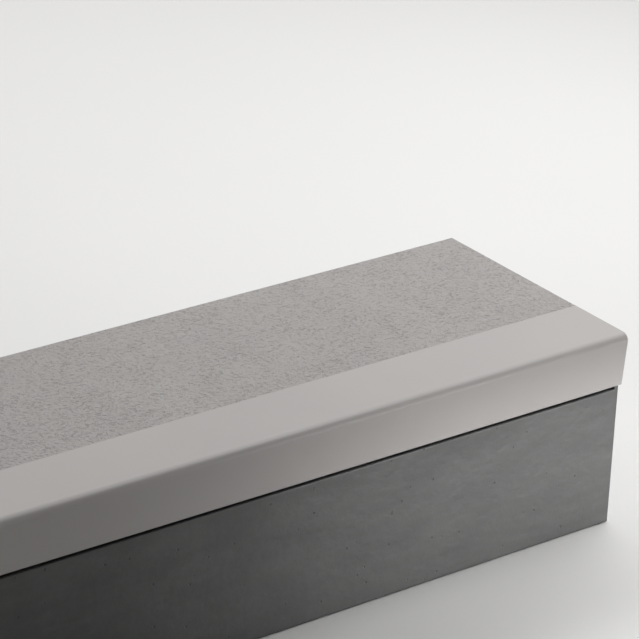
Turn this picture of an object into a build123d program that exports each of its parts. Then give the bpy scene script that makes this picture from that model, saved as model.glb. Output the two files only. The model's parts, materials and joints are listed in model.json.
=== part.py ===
"""A hinged-lid archival box for prints and cards that stand on edge, in millimetres.

The frame: X runs along the box, Y from the front wall to the hinge, Z up. The origin is under the middle
of the closed box, on the surface that it stands on. The base is greyboard under a dark paper wrap, lined
with pale paper. Its front wall is doubled by a facing board that stops just under the lid's lip, so that
the lip hangs in a shallow recess with a dark gap below it. The lid is a flat board and a formed lip board,
under a grained sheet and a smooth band, and turns on a cloth hinge along the top of the back wall.
"""

import math
import os

from build123d import *

# ---- driving dimensions ----
LENGTH = 457.0  # outside length of the base
DEPTH = 162.0  # front face to back face of the base
HEIGHT = 127.0  # floor to the top of the closed lid

BOARD = 2.5  # greyboard of the base
FRONT_BOARD = 2.0  # thinner greyboard of the front wall, which the facing board doubles
FACING = 2.0  # facing board, and so the depth of the recess above it
LEDGE_DROP = 3.1  # top of the facing's covering, below the lip's lower edge
LID_BOARD = 2.2  # greyboard of the lid
LIP_BOARD = 1.5  # thinner formed board of the lid's lip
PAPER = 0.4  # covering and lining papers, and the hinge cloth

LIP_HEIGHT = 33.6  # lid top to the lower edge of the lip
LIP_FOOT_OUT = 2.35  # lip face ahead of the front wall, at the lower edge
LIP_HEAD_OUT = 4.75  # the same, just under the rounded edge
NOSE_RADIUS = 4.6  # rounded front edge of the lid, outside
BAND_BACK = 43.4  # smooth band's rear edge, behind the front wall's face
LIP_BOARD_BACK = 14.0  # where the formed lip board meets the flat lid board

TOP_TURN_IN = 14.0  # covering folded over the rim and down inside
FOOT_TURN_IN = 12.0  # covering folded under the floor
CORNER_RADIUS = 0.8  # outside vertical corners of the base
SHEET_INSET = 3.0  # underside sheet, in from the base's outline
TAPE_LEG = 12.0  # each leg of an inside corner tape

LID_LIFT = 0.2  # between the rim and the closed lid
LID_TURN_IN = 10.0  # grained sheet folded under each end of the lid
HINGE_LEG = 24.0  # hinge cloth glued down the back wall
HINGE_LET_IN = 18.0  # hinge cloth let into the pared rear edge of the lid board
HINGE_EASE = 0.1  # lid's hinge cloth, inside the hinge line

# ---- heights and places worked out from them ----
LID_THICK = PAPER + LID_BOARD + PAPER
LIP_THICK = PAPER + LIP_BOARD + PAPER
NOSE_STEP = 0.5  # run of the small slope where the lip's underside meets the lid's
RIM = HEIGHT - LID_THICK - LID_LIFT  # top of the covered walls
WALL_TOP = RIM - PAPER
WALL_FOOT = PAPER + PAPER  # above the underside sheet and the covering's turn-in
FLOOR_TOP = WALL_FOOT + BOARD
LINING_TOP = RIM - TOP_TURN_IN

LIP_SLOPE = math.atan2(LIP_HEAD_OUT - LIP_FOOT_OUT, LIP_HEIGHT - NOSE_RADIUS)
NOSE_OUT = LIP_HEAD_OUT + NOSE_RADIUS * (1 - math.cos(LIP_SLOPE))
FRONT = -(DEPTH + PAPER - NOSE_OUT) / 2  # front wall's outside face, so that the whole box is centred
BACK = FRONT + DEPTH
HALF = LENGTH / 2
MIDDLE = (FRONT + BACK) / 2
LIP_FOOT = HEIGHT - LIP_HEIGHT
LID_UNDER = HEIGHT - LID_THICK
LIP_SEAM = FRONT + LIP_BOARD_BACK
BAND_EDGE = FRONT + BAND_BACK
HINGE_Z = RIM + LID_LIFT / 2

BOARD_LENGTH = LENGTH - 2 * PAPER
BOARD_DEPTH = DEPTH - 2 * PAPER
LEDGE = LIP_FOOT - LEDGE_DROP
LEDGE_UNDER = LEDGE - PAPER
INSIDE_FRONT = FRONT + PAPER + FACING + FRONT_BOARD
INSIDE_BACK = BACK - PAPER - BOARD
INSIDE_LENGTH = BOARD_LENGTH - 2 * BOARD
INSIDE_DEPTH = INSIDE_BACK - INSIDE_FRONT
INSIDE_MIDDLE = (INSIDE_FRONT + INSIDE_BACK) / 2
END_DEPTH = INSIDE_BACK - FRONT - PAPER
RECESS_LENGTH = INSIDE_LENGTH - 2 * PAPER
LINING_FOOT = FLOOR_TOP + PAPER

os.makedirs("parts", exist_ok=True)


def write(builder, name):
    """Labels a finished piece and writes it as one STEP file."""
    builder.part.label = name
    export_step(builder.part, f"parts/{name}.step")


def plate(length, depth, thick, x, y, z):
    """A flat sheet or board, centred on x and y, with its underside at z."""
    with BuildPart(Plane.XY.offset(z)) as piece:
        with Locations((x, y)):
            Box(length, depth, thick, align=(Align.CENTER, Align.CENTER, Align.MIN))
    return piece


def lip_section(inset, back, underside):
    """The lip's section on the YZ plane, from its foot round the nose and back to the line y = back.

    It is the outside of the lip moved in by inset all round, so that a covering and the board inside it
    come from the same lines.
    """
    centre = Vector(0, FRONT - LIP_HEAD_OUT + NOSE_RADIUS * math.cos(LIP_SLOPE), HEIGHT - NOSE_RADIUS)
    outward = Vector(0, -math.cos(LIP_SLOPE), -math.sin(LIP_SLOPE))
    down = Vector(0, math.sin(LIP_SLOPE), -math.cos(LIP_SLOPE))
    half_turn = (math.pi / 2 + LIP_SLOPE) / 2
    half_way = Vector(0, -math.sin(half_turn), math.cos(half_turn))
    upright = Vector(0, 0, 1)
    outer = NOSE_RADIUS - inset
    inner = NOSE_RADIUS - LIP_THICK + inset

    def flat(point):
        return (point.Y, point.Z)

    def foot(radius):
        start = centre + outward * radius
        return start + down * ((start.Z - LIP_FOOT - inset) / math.cos(LIP_SLOPE))

    with BuildSketch(Plane.YZ.offset(-HALF + inset)) as section:
        with BuildLine():
            Line((back, HEIGHT - inset), flat(centre + upright * outer))
            ThreePointArc(
                flat(centre + upright * outer),
                flat(centre + half_way * outer),
                flat(centre + outward * outer),
            )
            Line(flat(centre + outward * outer), flat(foot(outer)))
            Line(flat(foot(outer)), flat(foot(inner)))
            Line(flat(foot(inner)), flat(centre + outward * inner))
            ThreePointArc(
                flat(centre + outward * inner),
                flat(centre + half_way * inner),
                flat(centre + upright * inner),
            )
            Polyline(
                flat(centre + upright * inner),
                (centre.Y + NOSE_STEP, underside),
                (back, underside),
                (back, HEIGHT - inset),
            )
        make_face()
    return section.sketch


# ---- base: boards ----
floor_board = plate(INSIDE_LENGTH, INSIDE_DEPTH, BOARD, 0, INSIDE_MIDDLE, WALL_FOOT)
write(floor_board, "floor_board")

WALL_HEIGHT = WALL_TOP - WALL_FOOT
FRONT_BOARD_Y = INSIDE_FRONT - FRONT_BOARD / 2
front_wall_board = plate(INSIDE_LENGTH, FRONT_BOARD, WALL_HEIGHT, 0, FRONT_BOARD_Y, WALL_FOOT)
write(front_wall_board, "front_wall_board")

FACING_HEIGHT = LEDGE_UNDER - WALL_FOOT
front_facing_board = plate(INSIDE_LENGTH, FACING, FACING_HEIGHT, 0, FRONT + PAPER + FACING / 2, WALL_FOOT)
write(front_facing_board, "front_facing_board")

back_wall_board = plate(BOARD_LENGTH, BOARD, WALL_HEIGHT, 0, INSIDE_BACK + BOARD / 2, WALL_FOOT)
write(back_wall_board, "back_wall_board")

for name, side in (("left_end_board", -1), ("right_end_board", 1)):
    end_x = side * (BOARD_LENGTH - BOARD) / 2
    end = plate(BOARD, END_DEPTH, WALL_HEIGHT, end_x, FRONT + PAPER + END_DEPTH / 2, WALL_FOOT)
    write(end, name)

# ---- base: one wrap of dark paper, over the rim, into the recess and under the floor ----
with BuildPart(Plane.XY.offset(PAPER)) as wall_covering:
    with Locations((0, MIDDLE)):
        Box(LENGTH, DEPTH, RIM - PAPER, align=(Align.CENTER, Align.CENTER, Align.MIN))
    fillet(wall_covering.edges().filter_by(Axis.Z), CORNER_RADIUS)
    # The recess in front of the upper part of the front wall.
    with BuildSketch(Plane.XY.offset(LEDGE)):
        with Locations((0, FRONT + FACING / 2)):
            Rectangle(RECESS_LENGTH, FACING)
    extrude(amount=RIM - LEDGE, mode=Mode.SUBTRACT)
    # The room that the boards and the box's inside take up, below the ledge and then behind the recess.
    with BuildSketch(Plane.XY.offset(WALL_FOOT)):
        with Locations((0, MIDDLE)):
            Rectangle(BOARD_LENGTH, BOARD_DEPTH)
    extrude(amount=LEDGE_UNDER - WALL_FOOT, mode=Mode.SUBTRACT)
    with BuildSketch(Plane.XY.offset(LEDGE_UNDER)):
        with Locations((0, MIDDLE)):
            Rectangle(BOARD_LENGTH, BOARD_DEPTH)
        with Locations((0, FRONT + (FACING + PAPER) / 2)):
            Rectangle(INSIDE_LENGTH, FACING + PAPER, mode=Mode.SUBTRACT)
    extrude(amount=WALL_TOP - LEDGE_UNDER, mode=Mode.SUBTRACT)
    # The mouth of the box, and the opening that the turned-in edges leave under the floor.
    with BuildSketch(Plane.XY.offset(WALL_TOP)):
        with Locations((0, INSIDE_MIDDLE)):
            Rectangle(INSIDE_LENGTH, INSIDE_DEPTH)
    extrude(amount=PAPER, mode=Mode.SUBTRACT)
    with BuildSketch(Plane.XY.offset(PAPER)):
        with Locations((0, MIDDLE)):
            Rectangle(LENGTH - 2 * FOOT_TURN_IN, DEPTH - 2 * FOOT_TURN_IN)
    extrude(amount=PAPER, mode=Mode.SUBTRACT)
    # The edge that is folded over the rim and glued down inside.
    with BuildSketch(Plane.XY.offset(LINING_TOP)):
        with Locations((0, INSIDE_MIDDLE)):
            Rectangle(INSIDE_LENGTH, INSIDE_DEPTH)
            Rectangle(INSIDE_LENGTH - 2 * PAPER, INSIDE_DEPTH - 2 * PAPER, mode=Mode.SUBTRACT)
    extrude(amount=RIM - LINING_TOP)
write(wall_covering, "wall_covering")

underside_sheet = plate(LENGTH - 2 * SHEET_INSET, DEPTH - 2 * SHEET_INSET, PAPER, 0, MIDDLE, 0)
write(underside_sheet, "underside_sheet")

# ---- base: linings, with a tape in each inside corner ----
with BuildPart(Plane.XY.offset(LINING_FOOT)) as corner_tapes:
    with BuildSketch(Plane.XY.offset(LINING_FOOT)):
        with Locations((0, INSIDE_MIDDLE)):
            Rectangle(INSIDE_LENGTH, INSIDE_DEPTH)
            Rectangle(INSIDE_LENGTH - 2 * PAPER, INSIDE_DEPTH - 2 * PAPER, mode=Mode.SUBTRACT)
            Rectangle(INSIDE_LENGTH - 2 * TAPE_LEG, INSIDE_DEPTH, mode=Mode.SUBTRACT)
            Rectangle(INSIDE_LENGTH, INSIDE_DEPTH - 2 * TAPE_LEG, mode=Mode.SUBTRACT)
    extrude(amount=LINING_TOP - LINING_FOOT)
write(corner_tapes, "corner_tapes")

LINING_HEIGHT = LINING_TOP - LINING_FOOT
for name, side in (("front_wall_lining", -1), ("back_wall_lining", 1)):
    lining = plate(
        INSIDE_LENGTH - 2 * TAPE_LEG,
        PAPER,
        LINING_HEIGHT,
        0,
        INSIDE_MIDDLE + side * (INSIDE_DEPTH - PAPER) / 2,
        LINING_FOOT,
    )
    write(lining, name)

for name, side in (("left_end_lining", -1), ("right_end_lining", 1)):
    lining = plate(
        PAPER,
        INSIDE_DEPTH - 2 * TAPE_LEG,
        LINING_HEIGHT,
        side * (INSIDE_LENGTH - PAPER) / 2,
        INSIDE_MIDDLE,
        LINING_FOOT,
    )
    write(lining, name)

floor_lining = plate(INSIDE_LENGTH, INSIDE_DEPTH, PAPER, 0, INSIDE_MIDDLE, FLOOR_TOP)
write(floor_lining, "floor_lining")

# ---- lid: boards ----
with BuildPart() as lid_top_board:
    with BuildSketch(Plane.YZ.offset(-HALF + PAPER)):
        with BuildLine():
            Polyline(
                (LIP_SEAM, LID_UNDER + PAPER),
                (BACK, LID_UNDER + PAPER),
                (BACK, HEIGHT - 2 * PAPER),
                (BACK - HINGE_LET_IN, HEIGHT - 2 * PAPER),
                (BACK - HINGE_LET_IN, HEIGHT - PAPER),
                (LIP_SEAM, HEIGHT - PAPER),
                close=True,
            )
        make_face()
    extrude(amount=BOARD_LENGTH)
write(lid_top_board, "lid_top_board")

with BuildPart() as lid_lip_board:
    extrude(lip_section(PAPER, LIP_SEAM, LID_UNDER + PAPER), amount=BOARD_LENGTH)
write(lid_lip_board, "lid_lip_board")

# ---- lid: a smooth band over the nose and round the lip, and the grained sheet behind it ----
with BuildPart() as lid_front_band:
    extrude(lip_section(0, BAND_EDGE, LID_UNDER), amount=LENGTH)
    extrude(lip_section(PAPER, BAND_EDGE, LID_UNDER + PAPER), amount=BOARD_LENGTH, mode=Mode.SUBTRACT)
write(lid_front_band, "lid_front_band")

SHEET_DEPTH = BACK - BAND_EDGE
SHEET_MIDDLE = (BACK + BAND_EDGE) / 2
with BuildPart(Plane.XY.offset(LID_UNDER)) as lid_top_sheet:
    with Locations((0, SHEET_MIDDLE)):
        Box(LENGTH, SHEET_DEPTH, LID_THICK, align=(Align.CENTER, Align.CENTER, Align.MIN))
    with BuildSketch(Plane.XY.offset(LID_UNDER + PAPER)):
        with Locations((0, SHEET_MIDDLE)):
            Rectangle(BOARD_LENGTH, SHEET_DEPTH)
    extrude(amount=LID_BOARD, mode=Mode.SUBTRACT)
    with BuildSketch(Plane.XY.offset(LID_UNDER)):
        with Locations((0, SHEET_MIDDLE)):
            Rectangle(LENGTH - 2 * LID_TURN_IN, SHEET_DEPTH)
    extrude(amount=PAPER, mode=Mode.SUBTRACT)
write(lid_top_sheet, "lid_top_sheet")

lid_lining = plate(LENGTH - 2 * LID_TURN_IN, SHEET_DEPTH, PAPER, 0, SHEET_MIDDLE, LID_UNDER)
write(lid_lining, "lid_lining")

# ---- hinge cloth: one strip, as a leaf down the back wall and a leaf let into the lid ----
hinge_cloth_wall = plate(BOARD_LENGTH, PAPER, HINGE_LEG, 0, BACK + PAPER / 2, HINGE_Z - HINGE_LEG)
write(hinge_cloth_wall, "hinge_cloth_wall")

CLOTH_FACE = BACK + PAPER - HINGE_EASE
with BuildPart() as hinge_cloth_lid:
    with BuildSketch(Plane.YZ.offset(-BOARD_LENGTH / 2)):
        with BuildLine():
            Polyline(
                (BACK, HINGE_Z),
                (CLOTH_FACE, HINGE_Z),
                (CLOTH_FACE, HEIGHT - PAPER),
                (BACK - HINGE_LET_IN, HEIGHT - PAPER),
                (BACK - HINGE_LET_IN, HEIGHT - 2 * PAPER),
                (BACK, HEIGHT - 2 * PAPER),
                close=True,
            )
        make_face()
    extrude(amount=BOARD_LENGTH)
write(hinge_cloth_lid, "hinge_cloth_lid")
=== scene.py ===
"""Looks for the archival box: coverings, linings, hinge cloth, floor, light and camera.

Lengths are in metres. The object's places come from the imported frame. The three coverings that show most
and the hinge cloth are meshes made here, which stand for plain CAD nodes. The other nodes only get materials.
"""

import json
import math

import bmesh
import bpy
from mathutils import Matrix, Vector, noise


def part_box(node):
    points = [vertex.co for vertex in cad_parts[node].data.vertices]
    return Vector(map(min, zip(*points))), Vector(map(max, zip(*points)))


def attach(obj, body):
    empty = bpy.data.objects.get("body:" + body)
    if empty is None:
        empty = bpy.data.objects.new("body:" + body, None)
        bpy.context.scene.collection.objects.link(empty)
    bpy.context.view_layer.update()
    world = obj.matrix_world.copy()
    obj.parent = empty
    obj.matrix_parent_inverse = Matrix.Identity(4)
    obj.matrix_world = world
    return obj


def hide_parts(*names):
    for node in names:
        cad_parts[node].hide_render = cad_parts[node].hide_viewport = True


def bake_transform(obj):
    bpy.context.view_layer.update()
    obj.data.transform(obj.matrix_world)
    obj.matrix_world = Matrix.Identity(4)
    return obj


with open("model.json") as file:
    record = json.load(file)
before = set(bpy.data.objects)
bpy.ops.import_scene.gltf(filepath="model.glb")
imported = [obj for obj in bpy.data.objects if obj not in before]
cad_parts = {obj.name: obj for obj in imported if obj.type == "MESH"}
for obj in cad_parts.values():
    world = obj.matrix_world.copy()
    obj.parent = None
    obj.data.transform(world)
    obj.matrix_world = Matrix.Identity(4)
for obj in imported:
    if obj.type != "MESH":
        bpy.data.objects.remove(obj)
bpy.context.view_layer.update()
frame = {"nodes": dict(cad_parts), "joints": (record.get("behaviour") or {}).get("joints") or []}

MM = 0.001
HAIR = 0.01 * MM  # a step too small to see

# ---- places, from the frame ----
WALL_LOW, WALL_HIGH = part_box("wall_covering")
BAND_LOW, BAND_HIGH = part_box("lid_front_band")
SHEET_LOW, SHEET_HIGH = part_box("lid_top_sheet")
LINING_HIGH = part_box("front_wall_lining")[1]
LEAF_LOW, LEAF_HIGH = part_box("hinge_cloth_wall")
CLOTH_LOW, CLOTH_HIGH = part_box("hinge_cloth_lid")
FACING_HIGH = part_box("front_facing_board")[1]
HINGE = Vector(frame["joints"][0]["pos_m"])
HALF = WALL_HIGH.x

# ---- sizes shared with the CAD model ----
PAPER = 0.4 * MM
BOARD = 2.5 * MM
FRONT_BOARD = 2.0 * MM
FACING = 2.0 * MM
FOOT_TURN_IN = 12 * MM
LID_TURN_IN = 10 * MM
LID_THICK = 3.0 * MM
LIP_THICK = 2.3 * MM
NOSE_RADIUS = 4.6 * MM
LIP_FOOT_OUT = 2.35 * MM
LIP_HEAD_OUT = 4.75 * MM

# ---- camera: its angles and lens, and how far right, up and ahead the box's front right foot lies ----
AZIMUTH, ELEVATION, ROLL = math.radians(-37.15), math.radians(24.8), math.radians(2.28)
LENS, SENSOR = 181.9, 36.0
CORNER_RIGHT, CORNER_UP, CORNER_AHEAD = 0.1739, -0.1222, 1.9506


# ---------------------------------------------------------------- meshes
def new_object(name, bm, body=None):
    """Makes an object of the bmesh, smooth except at sharp edges, and hangs it on a body."""
    bmesh.ops.recalc_face_normals(bm, faces=bm.faces)
    for face in bm.faces:
        face.smooth = True
    for edge in bm.edges:
        if len(edge.link_faces) == 2 and edge.calc_face_angle(0) > math.radians(38):
            edge.smooth = False
    mesh = bpy.data.meshes.new(name)
    bm.to_mesh(mesh)
    bm.free()
    piece = bpy.data.objects.new(name, mesh)
    bpy.context.scene.collection.objects.link(piece)
    if body:
        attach(piece, body)
    return piece


def soften(piece, width):
    """Rounds a piece's sharp edges a little, as paper pulled over board does."""
    bevel = piece.modifiers.new("soft_edges", "BEVEL")
    bevel.width = width
    bevel.segments = 2
    bevel.limit_method = "ANGLE"
    bevel.angle_limit = math.radians(50)
    bevel.harden_normals = True


def spaced(start, end, step):
    """Values from start to end, at most step apart."""
    count = max(1, math.ceil(abs(end - start) / step))
    return [start + (end - start) * i / count for i in range(count + 1)]


def arc(centre, radius, start, end, count):
    """Points on an arc, in two dimensions, with angles in radians."""
    return [
        (centre[0] + radius * math.cos(a), centre[1] + radius * math.sin(a))
        for a in (start + (end - start) * i / count for i in range(count + 1))
    ]


def quarter_turn(count):
    """Angles from nothing to a right angle, in count equal steps."""
    return [math.pi / 2 * i / count for i in range(count + 1)]


def strip_faces(bm, row, next_row):
    """Joins two rows of vertices with four-sided faces."""
    for a, b, c, d in zip(row, row[1:], next_row[1:], next_row):
        bm.faces.new((a, b, c, d))


# ---------------------------------------------------------------- lid: front band
BAND_ROW_STEP = 3 * MM
BAND_STATION_STEP = 6 * MM
NOSE_STEPS, INNER_NOSE_STEPS, LIP_STEPS = 14, 8, 8
BAND_WAVE_DEPTH = 0.03 * MM
BAND_WAVES_PER_METRE = 22
BAND_EDGE_ROUND = 0.12 * MM


def lip_path(inset):
    """The band's line in Y and Z: along the top, round the nose, down the lip, and back up inside."""
    wall = WALL_LOW.y
    top, under, foot = BAND_HIGH.z, BAND_HIGH.z - LID_THICK, BAND_LOW.z
    slope = math.atan2(LIP_HEAD_OUT - LIP_FOOT_OUT, top - foot - NOSE_RADIUS)
    centre = Vector((wall - LIP_HEAD_OUT + NOSE_RADIUS * math.cos(slope), top - NOSE_RADIUS))
    outer, inner = NOSE_RADIUS - inset, NOSE_RADIUS - LIP_THICK + inset
    down = Vector((math.sin(slope), -math.cos(slope)))
    away = math.pi + slope

    def lip_line(radius):
        """Head and foot of the lip's straight stretch, at a radius from the nose's centre."""
        head = centre + radius * Vector((math.cos(away), math.sin(away)))
        return head, head + down * ((head.y - foot - inset) / math.cos(slope))

    outer_head, outer_foot = lip_line(outer)
    inner_head, inner_foot = lip_line(inner)
    back = BAND_HIGH.y
    points = [(y, top - inset) for y in spaced(back, centre.x, BAND_ROW_STEP)]
    points += arc(centre, outer, math.pi / 2, away, NOSE_STEPS)[1:]
    points += [tuple(outer_head.lerp(outer_foot, i / LIP_STEPS)) for i in range(1, LIP_STEPS + 1)]
    points += [tuple(inner_foot.lerp(inner_head, i / LIP_STEPS)) for i in range(LIP_STEPS + 1)]
    points += arc(centre, inner, away, math.pi / 2, INNER_NOSE_STEPS)[1:]
    points += [(centre.x + 0.5 * MM, under + inset), (back, under + inset)]
    return points


def front_band():
    """The smooth covering: a skin round the lid's front, closed at both ends and open towards the sheet."""
    bm = bmesh.new()
    shells = []
    for inset in (0, PAPER):
        rows = []
        for x in spaced(-HALF + inset, HALF - inset, BAND_STATION_STEP):
            sunk = abs(BAND_WAVE_DEPTH * noise.noise(Vector((x * BAND_WAVES_PER_METRE, 0, 3.1))))
            row = [(x, y + (sunk if z < BAND_HIGH.z - inset else 0), z) for y, z in lip_path(inset)]
            rows.append([bm.verts.new(point) for point in row])
        for row, next_row in zip(rows, rows[1:]):
            strip_faces(bm, row, next_row)
        bm.faces.new(rows[0])
        bm.faces.new(rows[-1])
        shells.append(rows)
    outer, inner = shells
    for side in (0, -1):
        strip_faces(bm, [row[side] for row in outer], [row[side] for row in inner])
    for end in (0, -1):
        bm.faces.new((outer[end][0], outer[end][-1], inner[end][-1], inner[end][0]))
    piece = new_object("smooth_band", bm, "lid")
    soften(piece, BAND_EDGE_ROUND)
    return piece


# ---------------------------------------------------------------- lid: grained sheet
GRAIN_STEP = 0.55 * MM
GRAIN_CELL = 2.2 * MM
GRAIN_DEPTH = 0.3 * MM
GRAIN_FADE = 1.2 * MM  # the grain fades out over this distance from an edge
FRONT_SHARE = 0.12  # but this share of it is left at the front edge
CREASE_WIDTH = 0.2  # as a share of a cell
FAINTEST_CREASE = 0.12
LUMP_SHARE = 0.22
SHEET_EDGE = 0.35 * MM
SHEET_FLAT_MARGIN = 1 * MM


def grain(x, y):
    """Depth of the pressed grain at a point, from 0 to 1: irregular pebbles with creases between them."""
    place = Vector((x, y, 0)) / GRAIN_CELL
    warp = noise.noise_vector(place * 0.9) * 0.6
    distances = noise.voronoi(place + warp)[0]
    gap = distances[1] - distances[0]
    crease = math.exp(-((gap / CREASE_WIDTH) ** 2))
    patchy = 0.55 + 0.6 * noise.noise(place * 0.45 + Vector((7, 3, 0)))
    lumps = 0.5 + 0.5 * noise.noise(place * 1.7)
    return min(1.0, max(0.0, crease * max(FAINTEST_CREASE, patchy) + LUMP_SHARE * lumps))


def top_sheet():
    """The grained covering: a sleeve over the lid board, turned in under both ends."""
    top, under = SHEET_HIGH.z, SHEET_LOW.z
    edge = SHEET_EDGE

    def outline(inset, step):
        """The sleeve's line in X and Z, from one turn-in over the top to the other."""
        right, high, low = HALF - inset, top - inset, under + inset
        turned = HALF - LID_TURN_IN
        flat = HALF - SHEET_FLAT_MARGIN
        points = [(-turned, low)]
        points += arc((-right + edge, low + edge), edge, -math.pi / 2, -math.pi, 3)
        points += arc((-right + edge, high - edge), edge, math.pi, math.pi / 2, 4)
        points += [(x, high) for x in spaced(-flat, flat, step)]
        points += arc((right - edge, high - edge), edge, math.pi / 2, 0, 4)
        points += arc((right - edge, low + edge), edge, 0, -math.pi / 2, 3)
        points += [(turned, low)]
        return points

    bm = bmesh.new()
    crease = bm.verts.layers.float.new("crease")
    outside, inside = outline(0, GRAIN_STEP), outline(PAPER, 2 * HALF)
    rows = []
    for y in spaced(SHEET_LOW.y, SHEET_HIGH.y, GRAIN_STEP):
        margin = min(1.0, (y - SHEET_LOW.y) / GRAIN_FADE + FRONT_SHARE, (SHEET_HIGH.y - y) / GRAIN_FADE)
        loop = []
        for x, z in outside:
            side = min(1.0, (HALF - abs(x)) / GRAIN_FADE)
            depth = grain(x, y) * margin * side if z > top - HAIR else 0
            vertex = bm.verts.new((x, y, z - GRAIN_DEPTH * depth))
            vertex[crease] = depth
            loop.append(vertex)
        loop += [bm.verts.new((x, y, z)) for x, z in reversed(inside)]
        rows.append(loop)
    for row, next_row in zip(rows, rows[1:]):
        strip_faces(bm, row + row[:1], next_row + next_row[:1])
    bm.faces.new(rows[0])
    bm.faces.new(rows[-1])
    return new_object("grained_top_sheet", bm, "lid")


# ---------------------------------------------------------------- base: wall covering
LEDGE = FACING_HIGH.z + PAPER
RECESS_HALF = FACING_HIGH.x - PAPER
RECESS_SIDE = 0.15 * MM
LEDGE_ROUND = 1.2 * MM
FOLD_ROUND = 0.5 * MM
CORNER_RADIUS, LEAST_RADIUS = 0.8 * MM, 0.2 * MM
WRAP_ROW_STEP = 5 * MM
WRAP_STATION_STEP = 9 * MM
END_STEPS, BACK_STEPS = 13, 40
WAVE_DEPTH = 0.12 * MM
WAVE_FADE = 5 * MM
WAVES_ALONG, WAVES_UP = 9, 14  # to the metre
EDGE_CLEAR = 2 * MM
ON_FACE = 0.1 * MM


def wrap_profile():
    """Rows of the wrap, as (distance in from the outside, height, recess at the front, more at the front).

    They run from the turn-in under the floor up the outside, over the rim and down inside, and then back
    on the boards' side of the paper.
    """
    rim, foot = WALL_HIGH.z, WALL_LOW.z
    wall = BOARD + 2 * PAPER
    extra = FACING + FRONT_BOARD - BOARD
    # A rounded edge's distances from its two faces, through the turn.
    fold = [(FOLD_ROUND * (1 - math.sin(a)), FOLD_ROUND * (1 - math.cos(a))) for a in quarter_turn(3)]
    ledge = [(LEDGE_ROUND * (1 - math.sin(a)), LEDGE_ROUND * (1 - math.cos(a))) for a in quarter_turn(6)]
    rows = [(FOOT_TURN_IN, foot, 0, 0)]
    rows += [(near, foot + far, 0, 0) for near, far in fold]
    rows += [(0, z, 0, 0) for z in spaced(foot + EDGE_CLEAR, LEDGE - EDGE_CLEAR, WRAP_ROW_STEP)]
    rows += [(0, LEDGE - near, far, 0) for near, far in ledge]
    rows += [(0, LEDGE + HAIR, FACING, 0)]
    rows += [(0, z, FACING, 0) for z in spaced(LEDGE + 2 * EDGE_CLEAR, rim - EDGE_CLEAR, WRAP_ROW_STEP)]
    rows += [(far, rim - near, FACING, 0) for near, far in fold]
    rows += [(wall - near, rim - far, 0, extra) for near, far in fold]
    rows += [(wall, LINING_HIGH.z, 0, extra), (wall - PAPER, LINING_HIGH.z, 0, extra)]
    rows += [(wall - PAPER, rim - PAPER, 0, extra), (PAPER, rim - PAPER, FACING, 0)]
    rows += [(PAPER, LEDGE - PAPER, FACING, 0), (PAPER, LEDGE - PAPER - HAIR, 0, 0)]
    rows += [(PAPER, foot + PAPER, 0, 0), (FOOT_TURN_IN, foot + PAPER, 0, 0)]
    return rows


def front_stations():
    """Places along X on the front, with a close pair at each end of the recess."""
    outside, inside = RECESS_HALF + RECESS_SIDE, RECESS_HALF - RECESS_SIDE
    last = RECESS_HALF - 2 * EDGE_CLEAR
    plain = spaced(-last, last, WRAP_STATION_STEP)
    return [-outside, -inside, *plain, inside, outside]


def wrap_ring(inset, z, recess, extra):
    """One closed row of the wrap, anticlockwise from the front right-hand corner."""
    radius = max(CORNER_RADIUS - inset, LEAST_RADIUS)
    low = Vector((-HALF + inset, WALL_LOW.y + inset + extra))
    high = Vector((HALF - inset, WALL_HIGH.y - inset))
    centres = [(high.x - radius, low.y + radius), (high.x - radius, high.y - radius)]
    centres += [(low.x + radius, high.y - radius), (low.x + radius, low.y + radius)]
    corners = [arc(c, radius, (i - 1) * math.pi / 2, i * math.pi / 2, 3) for i, c in enumerate(centres)]
    points = []
    for i, count in enumerate((END_STEPS, BACK_STEPS, END_STEPS)):
        start, end = Vector(corners[i][-1]), Vector(corners[i + 1][0])
        points += corners[i]
        points += [tuple(start.lerp(end, j / count)) for j in range(1, count)]
    points += corners[-1]
    points += [(x, low.y + (recess if abs(x) < RECESS_HALF else 0)) for x in front_stations()]
    return [(*ripple(Vector(p), low, high, z, inset), z) for p in points]


def ripple(point, low, high, z, inset):
    """Sinks a point of the outside faces a little, as paper drawn over board lies."""
    if inset > 0:
        return point
    to_edge = min(z - WALL_LOW.z, abs(z - LEDGE), WALL_HIGH.z - z)
    place = Vector((point.x * WAVES_ALONG, point.y * WAVES_ALONG, z * WAVES_UP))
    depth = WAVE_DEPTH * (0.5 + 0.5 * noise.noise(place))
    depth *= max(0.0, min(1.0, to_edge / WAVE_FADE))
    if abs(point.y - low.y) < FACING + ON_FACE and abs(point.x) < high.x - EDGE_CLEAR:
        point.y += depth
    elif abs(point.y - high.y) < ON_FACE:
        point.y -= depth
    elif min(point.y - low.y, high.y - point.y) > EDGE_CLEAR:
        point.x -= math.copysign(depth, point.x)
    return point


def wall_skin():
    """The dark wrap: up the walls, into the recess, over the rim and down inside, and under the floor."""
    bm = bmesh.new()
    rows = [[bm.verts.new(p) for p in wrap_ring(*row)] for row in wrap_profile()]
    for row, next_row in zip(rows, rows[1:] + rows[:1]):
        strip_faces(bm, row + row[:1], next_row + next_row[:1])
    return new_object("dark_wall_wrap", bm, "base")


# ---------------------------------------------------------------- hinge cloth
CLOTH_STEP = 3 * MM
CLOTH_STATION_STEP = 5 * MM
CLOTH_SKIN = 0.02 * MM  # how far the strip's faces stay inside the CAD leaves


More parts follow.
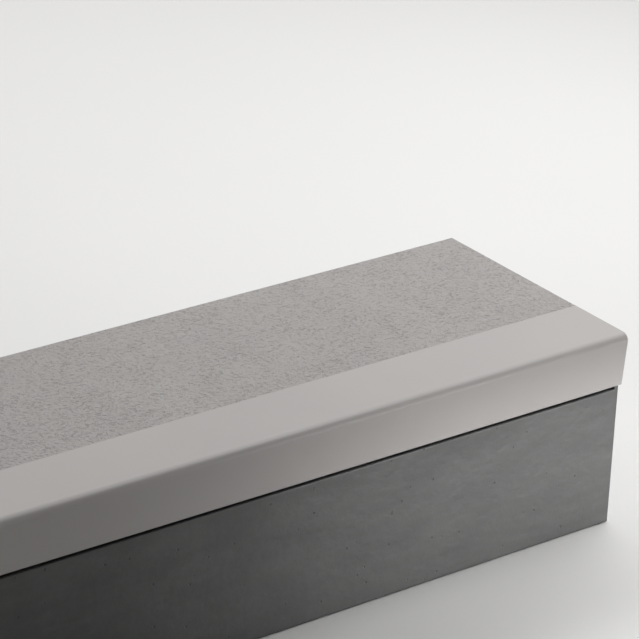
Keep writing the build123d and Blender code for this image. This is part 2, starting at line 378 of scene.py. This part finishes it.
def hinge_strip():
    """One strip of cloth: down the back wall, past the hinge line, up the lid's edge and under the sheet.

    Its rows are close together at the hinge line.
    """
    wall, leaf, lid = LEAF_LOW.y, LEAF_HIGH.y - CLOTH_SKIN, CLOTH_HIGH.y - CLOTH_SKIN
    top, under, tongue = CLOTH_HIGH.z, CLOTH_HIGH.z - PAPER, CLOTH_LOW.y
    heights = spaced(LEAF_LOW.z, HINGE.z - 1.5 * MM, CLOTH_STEP)
    heights += spaced(HINGE.z - 1.2 * MM, HINGE.z + 1.2 * MM, 0.2 * MM)
    heights += spaced(HINGE.z + 1.4 * MM, under, 0.4 * MM)
    outer = [(leaf if z < HINGE.z else lid, z) for z in heights] + [(lid, top)]
    outer += [(y, top) for y in spaced(wall - 2 * MM, tongue, CLOTH_STEP)]
    inner = [(wall + CLOTH_SKIN, z) for z in heights]
    inner += [(y, under) for y in spaced(wall - 2 * MM, tongue, CLOTH_STEP)]
    bm = bmesh.new()
    layer = bm.loops.layers.uv.new("UVMap")
    section = outer + inner[::-1]
    stations = spaced(CLOTH_LOW.x, CLOTH_HIGH.x, CLOTH_STATION_STEP)
    rows = [[bm.verts.new((x, y, z)) for y, z in section] for x in stations]
    for row, next_row in zip(rows, rows[1:]):
        strip_faces(bm, row + row[:1], next_row + next_row[:1])
    bm.faces.new(rows[0])
    bm.faces.new(rows[-1])
    for face in bm.faces:
        for loop in face.loops:
            loop[layer].uv = (loop.vert.co.x, loop.vert.co.z - loop.vert.co.y)
    return new_object("hinge_cloth", bm)


# ---------------------------------------------------------------- materials
class Look:
    """A material and short ways to add nodes to it."""

    def __init__(self, name, colour, roughness, specular=0.5):
        self.material = bpy.data.materials.new(name)
        self.material.use_nodes = True
        self.nodes = self.material.node_tree.nodes
        self.links = self.material.node_tree.links
        self.shader = self.nodes["Principled BSDF"]
        self.shader.inputs["Roughness"].default_value = roughness
        self.shader.inputs["Specular IOR Level"].default_value = specular
        self.shader.inputs["Base Color"].default_value = (*colour, 1)
        self.colour = (*colour, 1)
        self.where = self.nodes.new("ShaderNodeTexCoord").outputs["Object"]

    def add(self, kind, **settings):
        """A new node with these settings."""
        node = self.nodes.new(kind)
        for key, value in settings.items():
            setattr(node, key, value)
        return node

    def scaled(self, scale, source=None):
        """Coordinates stretched by scale along X, Y and Z."""
        mapping = self.add("ShaderNodeMapping")
        mapping.inputs["Scale"].default_value = scale
        self.links.new(source or self.where, mapping.inputs["Vector"])
        return mapping.outputs["Vector"]

    def noise(self, scale, detail=4.0, rough=0.55, source=None):
        """Noise with this many features to the metre along X, Y and Z."""
        texture = self.add("ShaderNodeTexNoise")
        texture.inputs["Scale"].default_value = 1.0
        texture.inputs["Detail"].default_value = detail
        texture.inputs["Roughness"].default_value = rough
        self.links.new(self.scaled(scale, source), texture.inputs["Vector"])
        return texture.outputs["Fac"]

    def cells(self, scale):
        """A Voronoi node with this many cells to the metre along X, Y and Z."""
        texture = self.add("ShaderNodeTexVoronoi")
        self.links.new(self.scaled(scale), texture.inputs["Vector"])
        texture.inputs["Scale"].default_value = 1.0
        return texture

    def spread(self, value, low, high, to_low=0.0, to_high=1.0):
        """Stretches the part of value between low and high."""
        node = self.add("ShaderNodeMapRange")
        limits = {"From Min": low, "From Max": high, "To Min": to_low, "To Max": to_high}
        for socket, number in limits.items():
            node.inputs[socket].default_value = number
        self.links.new(value, node.inputs["Value"])
        return node.outputs["Result"]

    def math(self, operation, a, b):
        """The result of an operation on two sockets or numbers."""
        node = self.add("ShaderNodeMath", operation=operation)
        for socket, value in zip(node.inputs, (a, b)):
            if isinstance(value, (int, float)):
                socket.default_value = value
            else:
                self.links.new(value, socket)
        return node.outputs["Value"]

    def tint(self, base, factor, colour):
        """base, a colour or a socket, mixed with colour by factor."""
        node = self.add("ShaderNodeMix", data_type="RGBA")
        if isinstance(base, tuple):
            node.inputs["A"].default_value = base
        else:
            self.links.new(base, node.inputs["A"])
        node.inputs["B"].default_value = (*colour, 1)
        self.links.new(factor, node.inputs["Factor"])
        return node.outputs["Result"]

    def bump(self, heights):
        """Chains (height, strength, distance) bumps into the shader."""
        normal = None
        for height, strength, distance in heights:
            node = self.add("ShaderNodeBump")
            node.inputs["Strength"].default_value = strength
            node.inputs["Distance"].default_value = distance
            self.links.new(height, node.inputs["Height"])
            if normal:
                self.links.new(normal, node.inputs["Normal"])
            normal = node.outputs["Normal"]
        self.links.new(normal, self.shader.inputs["Normal"])

    def finish(self, colour, roughness=None):
        """Joins the colour, and the roughness if there is one, to the shader and gives the material."""
        self.links.new(colour, self.shader.inputs["Base Color"])
        if roughness:
            self.links.new(roughness, self.shader.inputs["Roughness"])
        return self.material


def grained_look():
    """Leather-grained covering: the mesh's creases, and finer pits and ridges, stronger in patches. Painted
    shade darkens the creases and pits, and a painted highlight lightens the ridges.
    """
    look = Look("grained_leatherette", (0.398, 0.376, 0.368), 0.6, 0.4)
    crease = look.add("ShaderNodeAttribute", attribute_name="crease").outputs["Fac"]
    mottle = look.noise((14, 14, 14), detail=3)
    fine = look.noise((900, 900, 900), detail=5, rough=0.6)
    wrinkles = look.noise((400, 480, 400), detail=3, rough=0.6)
    patches = look.spread(look.noise((60, 60, 60), detail=3), 0.38, 0.6, to_low=0.7)
    pits = look.math("MULTIPLY", look.spread(wrinkles, 0.45, 0.37), patches)
    ridges = look.math("MULTIPLY", look.spread(wrinkles, 0.56, 0.68), patches)
    colour = look.tint(look.colour, look.spread(mottle, 0.35, 0.7), (0.424, 0.404, 0.392))
    # Painted shade: the colour is darkened where the mesh's grain is sunk, as shade in the creases.
    colour = look.tint(colour, look.spread(crease, 0.3, 0.9, to_high=0.07), (0.20, 0.187, 0.183))
    # Painted shade: the finer pits are darkened in colour, as shade in them.
    colour = look.tint(colour, look.math("MULTIPLY", pits, 0.13), (0.165, 0.152, 0.148))
    # Painted highlight: the finer ridges are lightened in colour, as light catching their tops.
    colour = look.tint(colour, look.math("MULTIPLY", ridges, 0.3), (0.58, 0.563, 0.556))
    relief = look.math("SUBTRACT", ridges, pits)
    look.bump([(fine, 0.3, 0.1 * MM), (relief, 1.0, 0.36 * MM)])
    return look.finish(colour, look.spread(crease, 0.0, 0.8, 0.55, 0.75))


def band_look():
    """The same covering without grain."""
    look = Look("smooth_covering", (0.453, 0.429, 0.420), 0.48, 0.4)
    mottle = look.noise((9, 9, 9), detail=3)
    fibres = look.noise((500, 1400, 1400), detail=4, rough=0.6)
    colour = look.tint(look.colour, look.spread(mottle, 0.35, 0.7), (0.476, 0.456, 0.441))
    colour = look.tint(colour, look.spread(fibres, 0.6, 0.8, to_high=0.12), (0.385, 0.365, 0.356))
    look.bump([(fibres, 0.12, 0.05 * MM), (look.noise((60, 60, 60)), 0.1, 0.3 * MM)])
    return look.finish(colour, look.spread(mottle, 0.3, 0.7, 0.44, 0.54))


def wall_look():
    """Dark paper: clouds and lighter smears along the wall, upright streaks and a few small pits, with
    painted shade darkening the pits.
    """
    look = Look("dark_covering", (0.048, 0.049, 0.0474), 0.48, 0.8)
    clouds = look.noise((18, 18, 46), detail=5, rough=0.6)
    smears = look.noise((55, 55, 150), detail=5, rough=0.65)
    streaks = look.noise((240, 240, 14), detail=4, rough=0.6)
    lumps = look.noise((150, 150, 170), detail=3, rough=0.5)
    grit = look.noise((650, 650, 650), detail=4, rough=0.6)
    cells = look.cells((130, 130, 110))
    pit_size = look.spread(cells.outputs["Color"], 0.52, 0.85, -0.02, 0.13)
    pit = look.spread(look.math("SUBTRACT", pit_size, cells.outputs["Distance"]), -0.02, 0.02)
    colour = look.tint(look.colour, look.spread(clouds, 0.36, 0.64), (0.066, 0.0672, 0.0645))
    colour = look.tint(colour, look.spread(smears, 0.54, 0.72, to_high=0.26), (0.090, 0.0925, 0.0895))
    colour = look.tint(colour, look.spread(streaks, 0.55, 0.8, to_high=0.22), (0.036, 0.0364, 0.0356))
    # Painted shade: the pits are darkened towards black, as shade in them.
    colour = look.tint(colour, look.math("MULTIPLY", pit, 0.7), (0.012, 0.012, 0.012))
    look.bump([
        (lumps, 0.6, 0.5 * MM),
        (grit, 0.3, 0.1 * MM),
        (look.math("MULTIPLY", pit, -1.0), 0.8, 0.25 * MM),
    ])
    return look.finish(colour, look.spread(clouds, 0.3, 0.7, 0.56, 0.46))


def paper_look(name, colour, fleck, roughness=0.8):
    """Plain paper or board with flecks of another colour."""
    look = Look(name, colour, roughness, 0.25)
    cloud = look.noise((30, 30, 30), detail=4)
    fibre = look.noise((900, 900, 900), detail=5, rough=0.65)
    flecks = look.noise((380, 380, 380), detail=2)
    lighter = tuple(min(1.0, c * 1.1) for c in colour)
    shade = look.tint(look.colour, look.spread(cloud, 0.35, 0.7), lighter)
    shade = look.tint(shade, look.spread(flecks, 0.66, 0.78, to_high=0.5), fleck)
    look.bump([(fibre, 0.25, 0.08 * MM)])
    return look.finish(shade, look.spread(fibre, 0.3, 0.7, roughness - 0.06, roughness + 0.08))


def cloth_look():
    """Book cloth: a plain weave of warp and weft threads about half a millimetre apart."""
    look = Look("book_cloth", (0.10, 0.10, 0.10), 0.75, 0.3)
    look.shader.inputs["Sheen Weight"].default_value = 0.15
    flat = look.nodes.new("ShaderNodeUVMap").outputs["UV"]
    threads = []
    for direction in ("X", "Y"):
        wave = look.add("ShaderNodeTexWave", wave_type="BANDS", bands_direction=direction)
        wave.inputs["Scale"].default_value = 1.0
        wave.inputs["Distortion"].default_value = 0.6
        wave.inputs["Detail Scale"].default_value = 0.4
        look.links.new(look.scaled((620, 620, 620), flat), wave.inputs["Vector"])
        threads.append(wave.outputs["Fac"])
    weave = look.math("MULTIPLY", threads[0], threads[1])
    slubs = look.noise((60, 700, 1), detail=3, source=flat)
    colour = look.tint(look.colour, look.spread(weave, 0.1, 0.9), (0.165, 0.165, 0.16))
    colour = look.tint(colour, look.spread(slubs, 0.58, 0.75, to_high=0.4), (0.20, 0.20, 0.195))
    look.bump([(weave, 0.6, 0.15 * MM), (slubs, 0.2, 0.1 * MM)])
    return look.finish(colour, look.spread(weave, 0.0, 1.0, 0.85, 0.68))


def dress(piece, look):
    """Gives a piece one material."""
    piece.data.materials.clear()
    piece.data.materials.append(look)


# ---------------------------------------------------------------- the pieces
LINING = paper_look("lining_paper", (0.60, 0.59, 0.55), (0.42, 0.40, 0.36))
BOARD_LOOK = paper_look("greyboard", (0.33, 0.32, 0.30), (0.18, 0.17, 0.16), 0.88)
TAPE = paper_look("corner_tape", (0.52, 0.51, 0.47), (0.40, 0.38, 0.35))
UNDERSIDE = paper_look("underside_paper", (0.11, 0.11, 0.11), (0.17, 0.17, 0.165))

band = front_band()
dress(band, band_look())
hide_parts("lid_front_band")

sheet = top_sheet()
dress(sheet, grained_look())
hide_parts("lid_top_sheet")

wrap = wall_skin()
dress(wrap, wall_look())
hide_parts("wall_covering")

cloth = hinge_strip()
dress(cloth, cloth_look())
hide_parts("hinge_cloth_wall", "hinge_cloth_lid")
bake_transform(cloth)

PLAIN_NODES = (
    (BOARD_LOOK, ("floor_board", "front_wall_board", "front_facing_board", "back_wall_board")),
    (BOARD_LOOK, ("left_end_board", "right_end_board", "lid_top_board", "lid_lip_board")),
    (LINING, ("front_wall_lining", "back_wall_lining", "left_end_lining", "right_end_lining")),
    (LINING, ("floor_lining", "lid_lining")),
    (TAPE, ("corner_tapes",)),
    (UNDERSIDE, ("underside_sheet",)),
)
for look, nodes in PLAIN_NODES:
    for node in nodes:
        dress(frame["nodes"][node], look)


# ---------------------------------------------------------------- floor, light and camera
FLOOR_SIZE = 14
FLOOR_DROP = 0.02 * MM


def pale_floor():
    """A plain pale floor a hair under the object's foot."""
    bpy.ops.mesh.primitive_plane_add(size=FLOOR_SIZE, location=(0, 0, -FLOOR_DROP))
    floor = bpy.context.object
    floor.name = "floor"
    look = Look("pale_floor", (0.80, 0.795, 0.785), 0.75, 0.2)
    cloud = look.spread(look.noise((2.5, 2.5, 2.5), detail=2), 0.3, 0.7)
    dress(floor, look.finish(look.tint(look.colour, cloud, (0.815, 0.81, 0.80))))


def softbox(name, place, target, size, watts, beam=180):
    """A rectangular soft light, with a grid that narrows it to beam degrees."""
    light = bpy.data.lights.new(name, "AREA")
    light.shape = "RECTANGLE"
    light.size, light.size_y = size
    light.energy = watts
    light.spread = math.radians(beam)
    lamp = bpy.data.objects.new(name, light)
    lamp.location = place
    lamp.rotation_euler = (Vector(target) - Vector(place)).to_track_quat("-Z", "Y").to_euler()
    bpy.context.scene.collection.objects.link(lamp)


def studio():
    """A faint white surround, a backdrop light, and three lights round the box's right-hand end."""
    world = bpy.data.worlds.new("studio")
    world.use_nodes = True
    surround = world.node_tree.nodes["Background"]
    surround.inputs["Color"].default_value = (1, 1, 1, 1)
    surround.inputs["Strength"].default_value = 0.02
    bpy.context.scene.world = world
    end = Vector((HALF, WALL_LOW.y, 0.06))
    low_place, low_target = end + Vector((0.10, -0.30, -0.01)), end + Vector((-0.04, 0, -0.03))
    softbox("backdrop", (-0.2, 1.5, 1.7), (-0.15, 1.0, 0), size=(3.0, 1.2), watts=31.5)
    softbox("key", end + Vector((0.55, -0.15, 1.25)), (0.05, 0, 0.1), size=(0.7, 0.7), watts=10)
    softbox("rim", end + Vector((0.6, 0.5, 0.8)), (0.1, 0, 0.1), size=(0.6, 0.6), watts=3.7)
    softbox("fill_right", low_place, low_target, size=(0.34, 0.06), watts=0.172, beam=48)
    bpy.context.scene.view_settings.view_transform = "Standard"


def camera():
    """A camera at the photo's angle, placed from the box's front right foot."""
    ahead = Vector((
        -math.sin(AZIMUTH) * math.cos(ELEVATION),
        math.cos(AZIMUTH) * math.cos(ELEVATION),
        -math.sin(ELEVATION),
    ))
    level_right = Vector((math.cos(AZIMUTH), math.sin(AZIMUTH), 0))
    level_up = level_right.cross(ahead)
    right = level_right * math.cos(ROLL) + level_up * math.sin(ROLL)
    up = level_up * math.cos(ROLL) - level_right * math.sin(ROLL)
    corner = Vector((HALF, WALL_LOW.y, 0))
    place = corner - right * CORNER_RIGHT - up * CORNER_UP - ahead * CORNER_AHEAD
    lens = bpy.data.cameras.new("camera")
    lens.lens, lens.sensor_width = LENS, SENSOR
    view = bpy.data.objects.new("camera", lens)
    view.matrix_world = Matrix.Translation(place) @ Matrix((right, up, -ahead)).transposed().to_4x4()
    bpy.context.scene.collection.objects.link(view)
    bpy.context.scene.camera = view


pale_floor()
studio()
camera()
